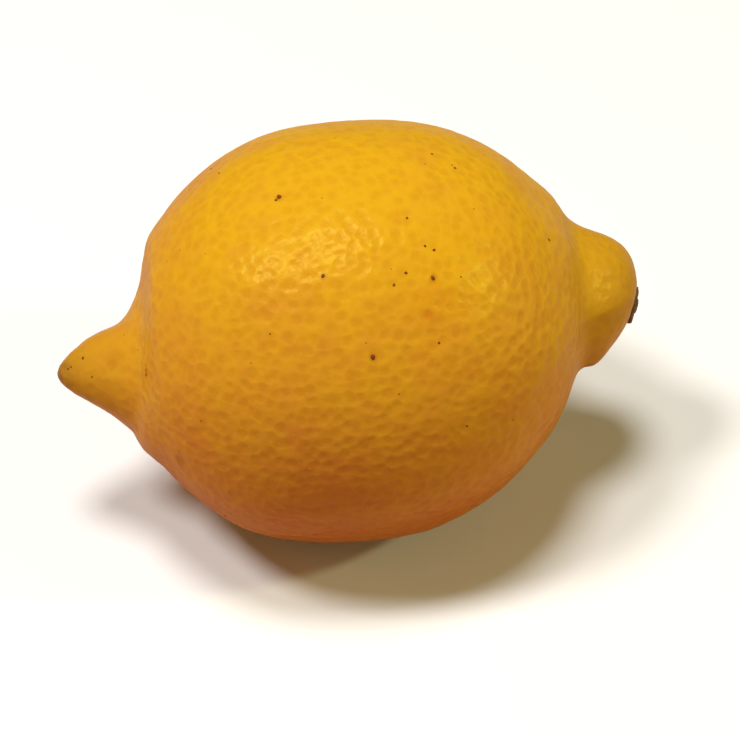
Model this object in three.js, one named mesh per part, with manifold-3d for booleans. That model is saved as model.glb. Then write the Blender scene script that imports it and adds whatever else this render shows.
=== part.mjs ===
// A ripe lemon as picked, lying on its side: the fruit in its rind, with the nipple of its flower end at -X
// and the neck of its stem end at +X, and the dried calyx button that the stem left in the end of the neck.
// Millimetres, +Z up. The origin is under the middle of the lemon, on the surface that it lies on.

import * as THREE from "three";
import { mergeVertices } from "three/addons/utils/BufferGeometryUtils.js";
import Module from "manifold-3d";

const wasm = await Module();
wasm.setup();

const { smoothstep, degToRad } = THREE.MathUtils;

// Driving dimensions. "Along" is the distance along the fruit from its middle, "out" the distance from
// its centreline. Handles are the lengths of the curve handles that shape the outline between two places.
const nipple = { tip: -42.1, tipHandle: 2.8, flankAlong: -35.4, flankOut: 4.7, root: -30.7, rootOut: 9.9 };
const body = { widest: -1, out: 30.4, shoulderRise: 5, flowerHandle: 21.6, stemHandle: 19.8 };
const stemShoulder = { along: 27.7, out: 20.4 };
const neck = { root: 32.2, rootOut: 10.5, flankAlong: 35.8, flankOut: 9.2, end: 41.8, endHandle: 7.3 };
const neckCrease = { bodySide: [31.3, 12.4], neckSide: [33.8, 9.95] };

// The centreline is straight through the body and steps aside at each end: the nipple sits low and
// forward on its shoulder, and the neck sits high and back. [sideways, up]
const risePerMillimetre = [0.05, 0.012];
const nippleShift = [-1, -1.15];
const nippleBlend = { from: -31, to: -27.5 };
const neckShift = [0.9, 1];
const neckBlend = { from: 27, to: 33.7 };

// Each end's sections lean a little, so the nipple's top is set back and the neck's top reaches further out.
const nippleLean = [0, 0.13];
const neckLean = [0.1, 0.11];
const neckLeanBlend = { from: 31, to: 39 };

// Furrows run from the calyx over the neck, at uneven angles round it in degrees, and fade on the body.
const furrows = [
  { at: 12, width: 15, depth: 0.05 },
  { at: 84, width: 13, depth: 0.05 },
  { at: 128, width: 17, depth: 0.035 },
  { at: 171, width: 13, depth: 0.06 },
  { at: 197, width: 12, depth: 0.05 },
  { at: 270, width: 14, depth: 0.07 },
  { at: 322, width: 15, depth: 0.08 },
];
const furrowsStart = 20;

// No lemon is truly round: it has broad bulges and hollows. Heights are in millimetres, angles in degrees.
const bulges = [
  { along: -38.5, length: 2.5, at: 49, width: 50, height: 0.4 },
  { along: -32.6, length: 2.6, at: 49, width: 45, height: -1.3 },
  { along: -29.9, length: 1.6, at: 49, width: 42, height: 2.9 },
  { along: -24, length: 7, at: 49, width: 40, height: -0.35 },
  { along: -24, length: 6, at: 229, width: 45, height: -0.6 },
  { along: -20, length: 9, at: 305, width: 34, height: 0.4 },
  { along: -15, length: 10, at: 145, width: 38, height: -0.45 },
  { along: -7, length: 9, at: 229, width: 45, height: -0.45 },
  { along: 1, length: 9, at: 49, width: 40, height: -0.35 },
  { along: 9, length: 6, at: 229, width: 40, height: 0.3 },
  { along: 14, length: 10, at: 330, width: 32, height: -0.35 },
  { along: 19, length: 8, at: 125, width: 30, height: 0.4 },
  { along: 25, length: 5, at: 229, width: 40, height: -0.65 },
  { along: 30.5, length: 3, at: 49, width: 38, height: 1.2 },
  { along: 36.5, length: 2.1, at: 232, width: 34, height: 1.3 },
];

// The rind follows the segments under it in faint ribs that show most on the shoulders.
const segmentCount = 9;
const ribDepth = 0.006;

// The lemon has settled on a small flat spot.
const flatDepth = 0.5;

// The calyx button: a five-lobed woody disc with the scar of the stem, in a seat in the end of the neck.
const button = { out: 2.65, under: -1.8, rim: 0.1, brow: 0.5, scarOut: 1.1, scar: 0.8 };
const buttonAlong = 41.1;
const buttonShift = [-0.9, -1.8];
const buttonLean = [0.2, 0.22];
const lobeCount = 5;
const lobeHeight = 0.08;
const seatGap = 0.32;
const seatMouth = 4;

const aroundSteps = 72;
const buttonSteps = 40;
const outlineSteps = [12, 16, 16, 4, 12];

// Half of the fruit's outline, from the nipple's tip over the body to the end of the neck.
function fruitOutline() {
  const outline = new THREE.Path();
  outline.moveTo(0, nipple.tip);
  outline.bezierCurveTo(
    nipple.tipHandle, nipple.tip,
    nipple.flankOut, nipple.flankAlong,
    nipple.rootOut, nipple.root,
  );
  outline.bezierCurveTo(
    nipple.rootOut + body.shoulderRise, nipple.root + 1,
    body.out, body.widest - body.flowerHandle,
    body.out, body.widest,
  );
  outline.bezierCurveTo(
    body.out, body.widest + body.stemHandle,
    stemShoulder.out, stemShoulder.along,
    neckCrease.bodySide[1], neckCrease.bodySide[0],
  );
  outline.quadraticCurveTo(
    neck.rootOut, neck.root,
    neckCrease.neckSide[1], neckCrease.neckSide[0],
  );
  outline.bezierCurveTo(
    neck.flankOut, neck.flankAlong,
    neck.endHandle, neck.end,
    0, neck.end,
  );
  return outline.curves.flatMap((curve, i) => curve.getPoints(outlineSteps[i]).slice(i ? 1 : 0));
}

// 1 where two angles agree, falling to 0 over the width.
function nearness(around, at, width) {
  const apart = around - degToRad(at);
  return Math.exp(-((Math.atan2(Math.sin(apart), Math.cos(apart)) / degToRad(width)) ** 2));
}

// How far out the rind is, where the plain outline has it at "out".
function rindAt(along, around, out) {
  const furrow = furrows.reduce((sum, { at, width, depth }) => sum + depth * nearness(around, at, width), 0);
  const bulge = bulges.reduce(
    (sum, { along: middle, length, at, width, height }) =>
      sum + height * Math.exp(-(((along - middle) / length) ** 2)) * nearness(around, at, width),
    0,
  );
  const ribShare = 1 - 0.7 * (out / body.out) ** 4;
  const rib = ribDepth * ribShare * Math.cos(segmentCount * around + 0.5);
  const evenAtEnds = Math.min(1, out / 4);
  return out * (1 - smoothstep(along, furrowsStart, neck.root) * furrow + rib) + bulge * evenAtEnds;
}

// Moves the round, straight lathe shape's points to where the real rind lies.
function shapeRind(geometry) {
  const points = geometry.getAttribute("position");
  for (let i = 0; i < points.count; i += 1) {
    const along = points.getX(i);
    const around = Math.atan2(points.getZ(i), points.getY(i));
    const out = rindAt(along, around, Math.hypot(points.getY(i), points.getZ(i)));
    const side = out * Math.cos(around);
    const up = out * Math.sin(around);
    const nippleShare = 1 - smoothstep(along, nippleBlend.from, nippleBlend.to);
    const neckShare = smoothstep(along, neckBlend.from, neckBlend.to);
    const neckLeanShare = smoothstep(along, neckLeanBlend.from, neckLeanBlend.to);
    const leanSide = nippleLean[0] * nippleShare + neckLean[0] * neckLeanShare;
    const leanUp = nippleLean[1] * nippleShare + neckLean[1] * neckLeanShare;
    const [sideRise, upRise] = risePerMillimetre;
    points.setXYZ(
      i,
      along + leanSide * side + leanUp * up,
      side + sideRise * along + nippleShift[0] * nippleShare + neckShift[0] * neckShare,
      up + upRise * along + nippleShift[1] * nippleShare + neckShift[1] * neckShare,
    );
  }
}

// A lathe shape turned about X.
function latheAlongX(outline, steps) {
  const lathe = new THREE.LatheGeometry(outline, steps);
  lathe.rotateZ(-Math.PI / 2);
  return lathe;
}

function solidOf(geometry) {
  const bare = geometry.clone();
  bare.deleteAttribute("normal");
  bare.deleteAttribute("uv");
  const merged = mergeVertices(bare, 1e-4);
  return new wasm.Manifold(
    new wasm.Mesh({
      numProp: 3,
      vertProperties: new Float32Array(merged.getAttribute("position").array),
      triVerts: new Uint32Array(merged.index.array),
    }),
  );
}

function geometryOf(solid) {
  const { vertProperties, triVerts } = solid.getMesh();
  const geometry = new THREE.BufferGeometry();
  geometry.setAttribute("position", new THREE.BufferAttribute(vertProperties, 3));
  geometry.setIndex(new THREE.BufferAttribute(triVerts, 1));
  geometry.computeVertexNormals();
  return geometry;
}

// The button about X, with its underside inwards. Grown, and open outwards, it is the cutter for its seat.
function buttonGeometry(grown = 0, mouth = 0) {
  const { out, under, rim, brow, scarOut, scar } = button;
  const outline = [
    [0, under - grown],
    [out * 0.75, under * 0.85 - grown],
    [out + grown, under * 0.4],
    [out + grown, rim + mouth],
  ];
  if (!mouth) outline.push([out * 0.75, brow], [scarOut * 1.1, brow * 0.9], [scarOut, scar]);
  outline.push([0, scar + mouth]);
  const geometry = latheAlongX(outline.map(([x, y]) => new THREE.Vector2(x, y)), buttonSteps);
  const points = geometry.getAttribute("position");
  for (let i = 0; i < points.count; i += 1) {
    const away = Math.hypot(points.getY(i), points.getZ(i));
    const around = Math.atan2(points.getZ(i), points.getY(i));
    const lobe = 1 + lobeHeight * smoothstep(away, scarOut, out) * Math.cos(lobeCount * around + 1);
    points.setXYZ(i, points.getX(i), points.getY(i) * lobe, points.getZ(i) * lobe);
  }
  return geometry;
}

// Where the button sits: low and to the front on the neck's rounded end, facing out of it.
const buttonPlace = new THREE.Vector3(
  buttonAlong,
  risePerMillimetre[0] * buttonAlong + neckShift[0] + buttonShift[0],
  risePerMillimetre[1] * buttonAlong + neckShift[1] + buttonShift[1],
);
const buttonTurn = new THREE.Quaternion().setFromUnitVectors(
  new THREE.Vector3(1, 0, 0),
  new THREE.Vector3(1, -buttonLean[0], -buttonLean[1]).normalize(),
);

function fruitSolid() {
  const rind = latheAlongX(fruitOutline(), aroundSteps);
  shapeRind(rind);
  rind.computeBoundingBox();
  const seat = buttonGeometry(seatGap, seatMouth);
  seat.applyMatrix4(new THREE.Matrix4().compose(buttonPlace, buttonTurn, new THREE.Vector3(1, 1, 1)));
  const blockSide = 4 * body.out;
  const underneath = new THREE.BoxGeometry(blockSide, blockSide, blockSide);
  underneath.translate(0, 0, rind.boundingBox.min.z + flatDepth - blockSide / 2);
  return solidOf(rind).subtract(solidOf(seat)).subtract(solidOf(underneath));
}

const rindSkin = new THREE.MeshStandardMaterial({ color: 0xf2b21b, roughness: 0.42, metalness: 0 });
const driedCalyx = new THREE.MeshStandardMaterial({ color: 0x6a5240, roughness: 0.9, metalness: 0 });

const fruit = new THREE.Mesh(geometryOf(fruitSolid()), rindSkin);
fruit.name = "fruit";

const calyx = new THREE.Mesh(buttonGeometry(), driedCalyx);
calyx.name = "calyx_button";
calyx.position.copy(buttonPlace);
calyx.quaternion.copy(buttonTurn);

// The pieces are shaped about the fruit's centreline, and the group sets the lemon down on its flat spot.
const lemon = new THREE.Group();
lemon.name = "lemon";
lemon.add(fruit, calyx);
const extent = new THREE.Box3().setFromObject(lemon, true);
for (const piece of lemon.children) {
  piece.position.x -= (extent.min.x + extent.max.x) / 2;
  piece.position.y -= (extent.min.y + extent.max.y) / 2;
  piece.position.z -= extent.min.z;
}

export default lemon;
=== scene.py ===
import math
import random

import bmesh
import bpy
from mathutils import Matrix, Vector, noise
from mathutils.bvhtree import BVHTree


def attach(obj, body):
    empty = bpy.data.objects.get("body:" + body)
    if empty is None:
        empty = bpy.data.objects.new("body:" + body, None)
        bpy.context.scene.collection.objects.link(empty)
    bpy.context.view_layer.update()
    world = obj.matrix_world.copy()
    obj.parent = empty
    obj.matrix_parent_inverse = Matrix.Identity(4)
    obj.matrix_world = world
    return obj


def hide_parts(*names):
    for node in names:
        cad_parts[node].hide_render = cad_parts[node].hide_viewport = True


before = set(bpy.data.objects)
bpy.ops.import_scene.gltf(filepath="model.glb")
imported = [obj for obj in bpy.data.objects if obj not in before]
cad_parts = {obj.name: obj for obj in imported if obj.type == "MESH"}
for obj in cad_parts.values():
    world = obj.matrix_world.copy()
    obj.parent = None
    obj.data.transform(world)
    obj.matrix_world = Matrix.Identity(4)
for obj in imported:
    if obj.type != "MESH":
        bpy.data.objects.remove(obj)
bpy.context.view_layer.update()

# The view: the camera looks down on the lemon at 41 degrees from a third of a metre away, a little from the
# nipple's side, through a long lens, and aims just below and to the right of the fruit's middle.
fruit_middle = Vector((-0.00004, -0.00003, 0.02982))
view_azimuth, view_elevation = math.radians(-5), math.radians(41)
view_distance = 0.33
aim_right, aim_down = 0.0027, 0.0056
view_back = Vector((
    math.sin(view_azimuth) * math.cos(view_elevation),
    -math.cos(view_azimuth) * math.cos(view_elevation),
    math.sin(view_elevation),
))
view_right = Vector((math.cos(view_azimuth), math.sin(view_azimuth), 0))
view_up = view_back.cross(view_right)
lens = bpy.data.cameras.new("camera")
lens.lens = 112.1
lens.sensor_width = 36
lens.clip_start, lens.clip_end = 0.01, 20
camera = bpy.data.objects.new("camera", lens)
bpy.context.scene.collection.objects.link(camera)
camera.location = fruit_middle + view_back * view_distance
aim = fruit_middle + view_right * aim_right - view_up * aim_down
camera.rotation_euler = (aim - camera.location).to_track_quat("-Z", "Y").to_euler()
bpy.context.scene.camera = camera

# The fruit in its rind: one fleshy body under a waxy skin, thickly set with oil glands. Each gland leaves a
# shallow pit, and the skin between the pits stands up as a soft net. The rind is yellow above, and darker
# and more orange below, which is painted shade; its ends are duller.
merge_gap = 1e-6
gland_spacing = 0.0016
gland_unevenness = 0.0003
pit_edge, pit_floor = 0.78, 0.18
pit_depth = 0.00007
swell_length = 0.0055
swell_height = 0.00018
pore_size = 0.0009
rind_cell = 0.000452
# Heights over which the painted shade fades, from full low on the fruit to none at its top.
painted_shade_full_height, painted_shade_none_height = 0.016, 0.060
patch_length, mottle_length = 0.013, 0.0028
yellow_rind = (0.665, 0.352, 0.010, 1)
# The darker orange is the painted shade low on the fruit; it also colours the orange patches and mottles.
orange_rind_and_painted_shade = (0.575, 0.200, 0.026, 1)
gland_colour = (0.46, 0.155, 0.003, 1)
end_colour = (0.46, 0.228, 0.013, 1)
nipple_tip_brown = (0.24, 0.10, 0.02, 1)


def node(tree, kind, inputs=None, **settings):
    """Adds a node, sets its options, and links or sets its inputs."""
    made = tree.nodes.new(kind)
    for name, value in settings.items():
        setattr(made, name, value)
    for socket, value in (inputs or {}).items():
        if isinstance(value, bpy.types.NodeSocket):
            tree.links.new(value, made.inputs[socket])
        else:
            made.inputs[socket].default_value = value
    return made


def ranged(tree, value, low, high, to_low=0, to_high=1):
    """Eases from to_low, where the value is low, to to_high, where it is high."""
    limits = {"Value": value, "From Min": low, "From Max": high, "To Min": to_low, "To Max": to_high}
    return node(tree, "ShaderNodeMapRange", limits, interpolation_type="SMOOTHSTEP").outputs["Result"]


def worked(tree, operation, *numbers):
    return node(tree, "ShaderNodeMath", dict(enumerate(numbers)), operation=operation).outputs["Value"]


def coloured(tree, share, under, over):
    """The colour under, or over where the share is 1."""
    mixed = node(tree, "ShaderNodeMix", {"Factor": share}, data_type="RGBA")
    for socket, colour in (("A", under), ("B", over)):
        end = next(s for s in mixed.inputs if s.name == socket and s.type == "RGBA")
        if isinstance(colour, bpy.types.NodeSocket):
            tree.links.new(colour, end)
        else:
            end.default_value = colour
    return next(s for s in mixed.outputs if s.type == "RGBA")


def clouds(tree, place, length, detail=2):
    settings = {"Vector": place, "Scale": 1 / length, "Detail": detail}
    return node(tree, "ShaderNodeTexNoise", settings)


def gland_depth(tree, place):
    """0 on the net between the glands' pits, and 1 in the middle of a pit."""
    waver = clouds(tree, place, gland_spacing * 1.4).outputs["Color"]
    centred = node(tree, "ShaderNodeVectorMath", {0: waver, 1: (0.5, 0.5, 0.5)}, operation="SUBTRACT")
    pushed = node(
        tree,
        "ShaderNodeVectorMath",
        {0: centred.outputs["Vector"], 1: (2 * gland_unevenness,) * 3, 2: place},
        operation="MULTIPLY_ADD",
    ).outputs["Vector"]
    glands = {"Vector": pushed, "Scale": 1 / gland_spacing, "Randomness": 0.85}
    from_gland = node(tree, "ShaderNodeTexVoronoi", glands).outputs["Distance"]
    return ranged(tree, from_gland, pit_edge, pit_floor)


def relief_share(tree, along):
    """The pits are a little shallower on the nipple and the neck."""
    return ranged(tree, worked(tree, "ABSOLUTE", along), 0.026, 0.036, 1, 0.75)


pitting = bpy.data.node_groups.new("pitted_rind", "GeometryNodeTree")
pitting.interface.new_socket("Geometry", in_out="INPUT", socket_type="NodeSocketGeometry")
pitting.interface.new_socket("Geometry", in_out="OUTPUT", socket_type="NodeSocketGeometry")
place = node(pitting, "GeometryNodeInputPosition").outputs["Position"]
outward = node(pitting, "GeometryNodeInputNormal").outputs["Normal"]
along = node(pitting, "ShaderNodeSeparateXYZ", {"Vector": place}).outputs["X"]
pits = worked(pitting, "MULTIPLY", gland_depth(pitting, place), relief_share(pitting, along))
swell = worked(pitting, "SUBTRACT", clouds(pitting, place, swell_length, 1).outputs["Fac"], 0.5)
lifted = worked(pitting, "MULTIPLY", swell, swell_height)
height = worked(pitting, "MULTIPLY_ADD", pits, -pit_depth, lifted)
offset = node(pitting, "ShaderNodeVectorMath", {0: outward, "Scale": height}, operation="SCALE")
entry = node(pitting, "NodeGroupInput").outputs["Geometry"]
shift = {"Geometry": entry, "Offset": offset.outputs["Vector"]}
moved = node(pitting, "GeometryNodeSetPosition", shift)
node(pitting, "NodeGroupOutput", {"Geometry": moved.outputs["Geometry"]})


def new_piece(name, shape):
    data = bpy.data.meshes.new(name)
    shape.to_mesh(data)
    shape.free()
    piece = bpy.data.objects.new(name, data)
    bpy.context.scene.collection.objects.link(piece)
    return piece


def finish_mesh(piece):
    """Applies the piece's modifiers, so that its mesh is its final shape."""
    final = bpy.data.meshes.new_from_object(piece.evaluated_get(bpy.context.evaluated_depsgraph_get()))
    piece.modifiers.clear()
    piece.data = final
    final.shade_smooth()


def new_material(name, roughness):
    material = bpy.data.materials.new(name)
    material.use_nodes = True
    shader = material.node_tree.nodes["Principled BSDF"]
    shader.inputs["Roughness"].default_value = roughness
    return material, material.node_tree, shader


def dress(piece, material, replaced=None):
    piece.data.materials.clear()
    piece.data.materials.append(material)
    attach(piece, "root")
    if replaced:
        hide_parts(replaced)


fruit_shape = bmesh.new()
fruit_shape.from_mesh(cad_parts["fruit"].data)
bmesh.ops.remove_doubles(fruit_shape, verts=fruit_shape.verts, dist=merge_gap)
fruit = new_piece("lemon_in_rind", fruit_shape)
rounder = fruit.modifiers.new("rounder", "SUBSURF")
rounder.levels = rounder.render_levels = 1
even = fruit.modifiers.new("even", "REMESH")
even.mode = "VOXEL"
even.voxel_size = rind_cell
softer = fruit.modifiers.new("softer", "SMOOTH")
softer.factor = 0.5
softer.iterations = 10
pitted = fruit.modifiers.new("pitted", "NODES")
pitted.node_group = pitting
finish_mesh(fruit)

rind_surface = BVHTree.FromPolygons(
    [vertex.co for vertex in fruit.data.vertices],
    [face.vertices for face in fruit.data.polygons],
)
photo_side = 740
pixels_across = photo_side * lens.lens / lens.sensor_width
camera_turn = camera.rotation_euler.to_matrix()


def rind_point(across, down):
    """The point of the rind that the view shows at a pixel, and the rind's outward direction there."""
    ray = camera_turn @ Vector(((across - photo_side / 2), (photo_side / 2 - down), -pixels_across))
    point, direction, _, _ = rind_surface.ray_cast(camera.location, ray.normalized())
    return point, direction


rind, tree, skin = new_material("lemon_rind", 0.28)
skin.inputs["Specular IOR Level"].default_value = 0.13
skin.inputs["Specular Tint"].default_value = (1, 0.95, 0.18, 1)
skin.inputs["Subsurface Weight"].default_value = 0.2
skin.inputs["Subsurface Radius"].default_value = (1.0, 0.4, 0.08)
skin.inputs["Subsurface Scale"].default_value = 0.0020
place = node(tree, "ShaderNodeTexCoord").outputs["Object"]
axes = node(tree, "ShaderNodeSeparateXYZ", {"Vector": place})
along, height = axes.outputs["X"], axes.outputs["Z"]
pits = worked(tree, "MULTIPLY", gland_depth(tree, place), relief_share(tree, along))

# Painted shade: the colour runs by height from the darker orange at the bottom to the yellow at the top.
# Random patches and mottles, and the position along the fruit and near its ends, also shift the colour.
heights = {"Value": height, "From Min": painted_shade_full_height, "From Max": painted_shade_none_height}
ripeness_and_painted_shade = node(tree, "ShaderNodeMapRange", heights).outputs["Result"]
patches = worked(tree, "SUBTRACT", clouds(tree, place, patch_length, 3).outputs["Fac"], 0.5)
mottles = worked(tree, "SUBTRACT", clouds(tree, place, mottle_length, 2).outputs["Fac"], 0.5)
ripeness_and_painted_shade = worked(tree, "MULTIPLY_ADD", patches, 0.9, ripeness_and_painted_shade)
ripeness_and_painted_shade = worked(tree, "MULTIPLY_ADD", mottles, 0.6, ripeness_and_painted_shade)
ripeness_and_painted_shade = worked(tree, "MULTIPLY_ADD", along, 4, ripeness_and_painted_shade)
riper_ends = ranged(tree, worked(tree, "ABSOLUTE", along), 0.022, 0.034, 0, 0.4)
ripeness_and_painted_shade = worked(tree, "ADD", ripeness_and_painted_shade, riper_ends)
ripeness_and_painted_shade = node(tree, "ShaderNodeClamp", {"Value": ripeness_and_painted_shade}).outputs["Result"]
colour = coloured(tree, ripeness_and_painted_shade, orange_rind_and_painted_shade, yellow_rind)
dots = worked(tree, "MULTIPLY", worked(tree, "POWER", pits, 1.5), 0.20)
colour = coloured(tree, dots, colour, gland_colour)
colour = coloured(tree, ranged(tree, along, 0.027, 0.036, 0, 0.6), colour, end_colour)
colour = coloured(tree, ranged(tree, along, -0.027, -0.040, 0, 0.55), colour, end_colour)

# Stains in the rind: a rusty rub mark with a faint halo, marks on and near the nipple, and brown rings round
# the larger specks. Each has its pixel, its radius, its strength and its colour.
stains = [
    ((428, 314), 0.0011, 0.8, (0.50, 0.14, 0.008, 1)),
    ((424, 308), 0.0045, 0.3, (0.62, 0.24, 0.010, 1)),
    ((440, 302), 0.0060, 0.25, (0.62, 0.25, 0.010, 1)),
    ((180, 461), 0.0016, 0.5, (0.30, 0.09, 0.010, 1)),
    ((114, 359), 0.0022, 0.35, (0.40, 0.15, 0.010, 1)),
    ((68, 368), 0.0040, 0.35, (0.34, 0.14, 0.012, 1)),
    ((279, 198), 0.0009, 0.55, (0.36, 0.09, 0.010, 1)),
    ((323, 276), 0.0007, 0.55, (0.36, 0.09, 0.010, 1)),
    ((373, 357), 0.0009, 0.55, (0.36, 0.09, 0.010, 1)),
    ((433, 278), 0.0009, 0.55, (0.36, 0.09, 0.010, 1)),
    ((146, 372), 0.0012, 0.55, (0.36, 0.09, 0.010, 1)),
]
ragged = worked(tree, "SUBTRACT", clouds(tree, place, 0.0009, 3).outputs["Fac"], 0.5)
for (across, down), size, strength, stain in stains:
    middle, _ = rind_point(across, down)
    away = node(tree, "ShaderNodeVectorMath", {0: place, 1: middle}, operation="DISTANCE").outputs["Value"]
    away = worked(tree, "MULTIPLY_ADD", ragged, size * 0.9, away)
    colour = coloured(tree, ranged(tree, away, size, size * 0.1, 0, strength), colour, stain)
tip = worked(tree, "MULTIPLY_ADD", ragged, 0.003, along)
colour = coloured(tree, ranged(tree, tip, -0.0395, -0.0425), colour, nipple_tip_brown)
tree.links.new(colour, skin.inputs["Base Color"])

pores = clouds(tree, place, pore_size, 2).outputs["Fac"]
pore_bump = node(tree, "ShaderNodeBump", {"Strength": 0.8, "Distance": 0.00009, "Height": pores})
net_bump = node(
    tree,
    "ShaderNodeBump",
    {"Strength": 0.8, "Distance": 0.00006, "Height": pits, "Normal": pore_bump.outputs["Normal"]},
    invert=True,
)
tree.links.new(net_bump.outputs["Normal"], skin.inputs["Normal"])
dress(fruit, rind, replaced="fruit")

# Specks: small dark scabs on the rind, from rubbing on the tree, each a flat crust half sunk in the skin.
# Those on the seen side are placed by pixel, with their width in millimetres, and their crusts are a little
# narrower. The other sides have random ones.
speck_places = [
    (279, 197, 0.85), (276, 200, 0.45), (373, 357, 0.80), (323, 276, 0.62), (433, 278, 0.70),
    (434, 250, 0.55), (425, 246, 0.42), (407, 218, 0.46), (406, 273, 0.48), (394, 285, 0.50),
    (432, 154, 0.45), (455, 168, 0.48), (452, 165, 0.30), (549, 240, 0.50), (219, 173, 0.45),
    (211, 169, 0.42), (439, 343, 0.40), (467, 426, 0.42), (83, 358, 0.50), (146, 370, 0.40),
    (146, 375, 0.48), (92, 377, 0.38), (71, 367, 0.35), (68, 369, 0.40), (270, 334, 0.28),
    (201, 421, 0.26), (225, 516, 0.45), (425, 164, 0.25), (335, 138, 0.25), (346, 121, 0.25),
    (197, 181, 0.24), (189, 190, 0.26), (180, 250, 0.22), (167, 261, 0.22), (205, 254, 0.22),
    (322, 198, 0.22), (461, 277, 0.28), (474, 209, 0.24), (513, 420, 0.24), (399, 394, 0.24),
    (151, 424, 0.26), (179, 451, 0.28), (366, 343, 0.22), (138, 350, 0.24), (124, 335, 0.22),
    (251, 363, 0.22), (391, 269, 0.20), (146, 365, 0.24),
]
hidden_specks = 46
speck_rise = 0.16
crust_scale = 0.00095
speck_seed = 11
luck = random.Random(speck_seed)
marks = [(*rind_point(across, down), width * crust_scale) for across, down, width in speck_places]
while len(marks) < len(speck_places) + hidden_specks:
    ray = Vector((luck.gauss(0, 1), luck.gauss(0, 1), luck.gauss(0, 1))).normalized()
    start = Vector((luck.uniform(-0.035, 0.035), 0, fruit_middle.z))
    point, direction, _, _ = rind_surface.ray_cast(start + ray * 0.2, -ray)
    width = 0.0002 + 0.0005 * luck.random() ** 2
    if point and direction.dot(view_back) < 0:
        marks.append((point, direction, width))
speck_shape = bmesh.new()
for point, direction, width in marks:
    spin = Matrix.Rotation(luck.uniform(0, 6.28), 4, "Z")
    turn = direction.to_track_quat("Z", "Y").to_matrix().to_4x4() @ spin
    size = Matrix.Diagonal((width / 2 * luck.uniform(0.75, 1), width / 2, width * speck_rise, 1))
    made = bmesh.ops.create_icosphere(
        speck_shape, subdivisions=2, radius=1, matrix=Matrix.Translation(point) @ turn @ size
    )
    for vertex in made["verts"]:
        vertex.co = point + (vertex.co - point) * luck.uniform(0.82, 1.12)
specks = new_piece("rind_specks", speck_shape)
specks.data.shade_smooth()
crust, tree, shader = new_material("dark_crust", 0.8)
shader.inputs["Base Color"].default_value = (0.19, 0.046, 0.006, 1)
shader.inputs["Specular IOR Level"].default_value = 0.1
dress(specks, crust)

# The calyx button: the dried, five-lobed calyx that stayed in the neck's end when the stem was cut. It is
# grey-brown and woody, and sits in a hollow of the rind, with the stem's pale scar in its middle. Its
# profile is in millimetres, out from its axis and up.
button_middle = Vector((0.041060, 0.002026, 0.029513))
button_axis = Vector((1, -0.2, -0.22)).normalized()
button_profile = [
    (0, -1.7), (1.7, -1.45), (2.45, -0.75), (2.72, 0.0), (2.60, 0.24),
    (2.25, 0.40), (1.75, 0.50), (1.35, 0.50), (1.16, 0.56), (1.08, 0.74),
    (0.95, 0.79), (0.78, 0.74), (0.60, 0.62), (0.35, 0.60), (0, 0.62),
]
button_steps = 80
lobe_count = 5
lobe_start, lobe_reach = 0.0012, 0.0014
lobe_spread = 0.07
lobe_height = 0.00012
grain_height = 0.00010
button_shape = bmesh.new()
profile = [button_shape.verts.new((out / 1000, 0, up / 1000)) for out, up in button_profile]
edges = [button_shape.edges.new(pair) for pair in zip(profile, profile[1:])]
bmesh.ops.spin(
    button_shape, geom=profile + edges, cent=(0, 0, 0), axis=(0, 0, 1), angle=math.tau, steps=button_steps,
    use_merge=True,
)
bmesh.ops.remove_doubles(button_shape, verts=button_shape.verts, dist=merge_gap)
bmesh.ops.recalc_face_normals(button_shape, faces=button_shape.faces)
for vertex in button_shape.verts:
    around = math.atan2(vertex.co.y, vertex.co.x)
    out = math.hypot(vertex.co.x, vertex.co.y)
    share = min(1, max(0, (out - lobe_start) / lobe_reach))
    lobe = math.cos(lobe_count * around + 1)
    vertex.co.x *= 1 + lobe_spread * share * lobe
    vertex.co.y *= 1 + lobe_spread * share * lobe
    if vertex.co.z > 0:
        grain = noise.noise(Vector((math.cos(around) * 5, math.sin(around) * 5, out * 900)))
        vertex.co.z += share * (lobe_height * lobe + grain_height * grain) + 0.00003 * grain
button_turn = button_axis.to_track_quat("Z", "Y").to_matrix().to_4x4()
bmesh.ops.transform(
    button_shape, matrix=Matrix.Translation(button_middle) @ button_turn, verts=button_shape.verts
)
button = new_piece("calyx_with_stem_scar", button_shape)
button.data.shade_smooth()
wood, tree, shader = new_material("dried_calyx", 0.85)
place = node(tree, "ShaderNodeTexCoord").outputs["Object"]
from_middle = node(tree, "ShaderNodeVectorMath", {0: place, 1: button_middle}, operation="DISTANCE")
away = from_middle.outputs["Value"]
fibres = clouds(tree, place, 0.0004, 3).outputs["Fac"]
colour = coloured(tree, ranged(tree, fibres, 0.35, 0.65), (0.10, 0.055, 0.03, 1), (0.24, 0.15, 0.085, 1))
colour = coloured(tree, ranged(tree, away, 0.0013, 0.0009, 0, 0.7), colour, (0.40, 0.30, 0.19, 1))
tree.links.new(colour, shader.inputs["Base Color"])
fibre_bump = node(tree, "ShaderNodeBump", {"Strength": 0.6, "Distance": 0.0001, "Height": fibres})
tree.links.new(fibre_bump.outputs["Normal"], shader.inputs["Normal"])
dress(button, wood, replaced="calyx_button")

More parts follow.
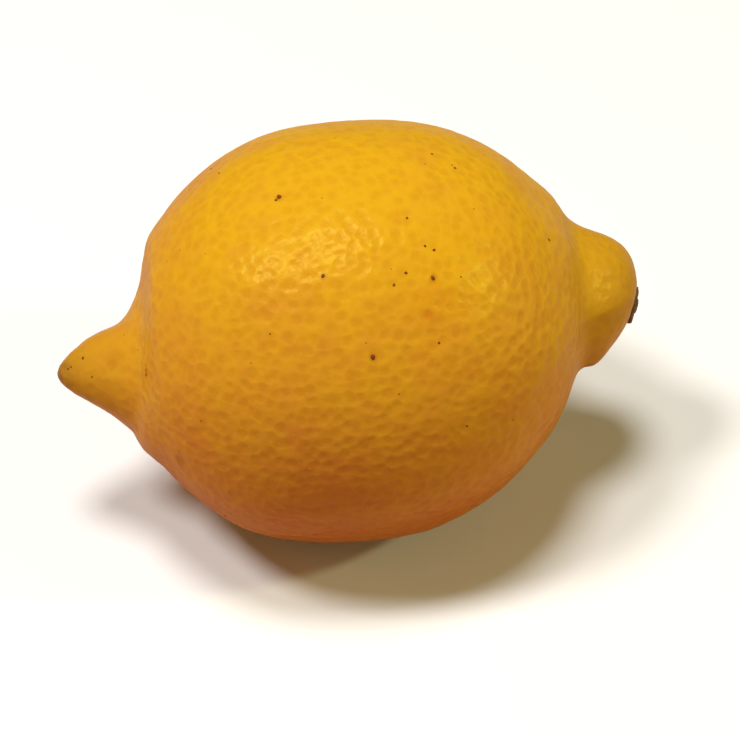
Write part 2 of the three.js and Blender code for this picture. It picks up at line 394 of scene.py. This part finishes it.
# The ground: a plain pale sheet that looks white where the lamps reach it, and casts a dim, warm light back
# up on the fruit, as a table top does. Two soft lamps hang over it, a small one stands on the right, and a
# wide, low one at each end brightens the flanks. The room is dim and warm.
lamp_distance = 1.2
ground_shape = bmesh.new()
bmesh.ops.create_grid(ground_shape, x_segments=1, y_segments=1, size=3)
ground = new_piece("ground", ground_shape)
pale, tree, shader = new_material("pale_ground", 0.9)
tree.nodes.remove(shader)
seen = node(tree, "ShaderNodeBsdfDiffuse", {"Color": (0.89, 0.89, 0.87, 1)})
cast = node(tree, "ShaderNodeBsdfDiffuse", {"Color": (0.55, 0.355, 0.27, 1)})
is_seen = node(tree, "ShaderNodeLightPath").outputs["Is Camera Ray"]
floor_parts = {"Fac": is_seen, 1: cast.outputs["BSDF"], 2: seen.outputs["BSDF"]}
either = node(tree, "ShaderNodeMixShader", floor_parts)
tree.links.new(either.outputs["Shader"], tree.nodes["Material Output"].inputs["Surface"])
ground.data.materials.append(pale)


def lamp(name, direction, size, power, colour):
    data = bpy.data.lights.new(name, "AREA")
    data.shape = "DISK"
    data.size = size
    data.energy = power
    data.color = colour
    made = bpy.data.objects.new(name, data)
    bpy.context.scene.collection.objects.link(made)
    made.location = fruit_middle + Vector(direction).normalized() * lamp_distance
    made.rotation_euler = (fruit_middle - made.location).to_track_quat("-Z", "Y").to_euler()


lamp("ceiling", (-0.10, -0.05, 1), 0.32, 9.0, (1, 0.98, 0.98))
lamp("ceiling_left", (-0.52, -0.13, 1), 0.26, 7.9, (1, 0.98, 0.98))
lamp("right_side", (0.80, -0.22, 0.57), 0.11, 3.3, (0.96, 0.95, 0.52))
lamp("low_right", (0.97, -0.24, 0.13), 0.9, 3.5, (1, 0.93, 0.45))
lamp("low_left", (-0.95, -0.12, 0.28), 0.9, 2.1, (1, 0.85, 0.42))
world = bpy.data.worlds.new("room")
bpy.context.scene.world = world
world.use_nodes = True
room = world.node_tree.nodes["Background"]
room.inputs["Color"].default_value = (1, 0.61, 0.25, 1)
room.inputs["Strength"].default_value = 0.05

bpy.context.scene.view_settings.view_transform = "Standard"
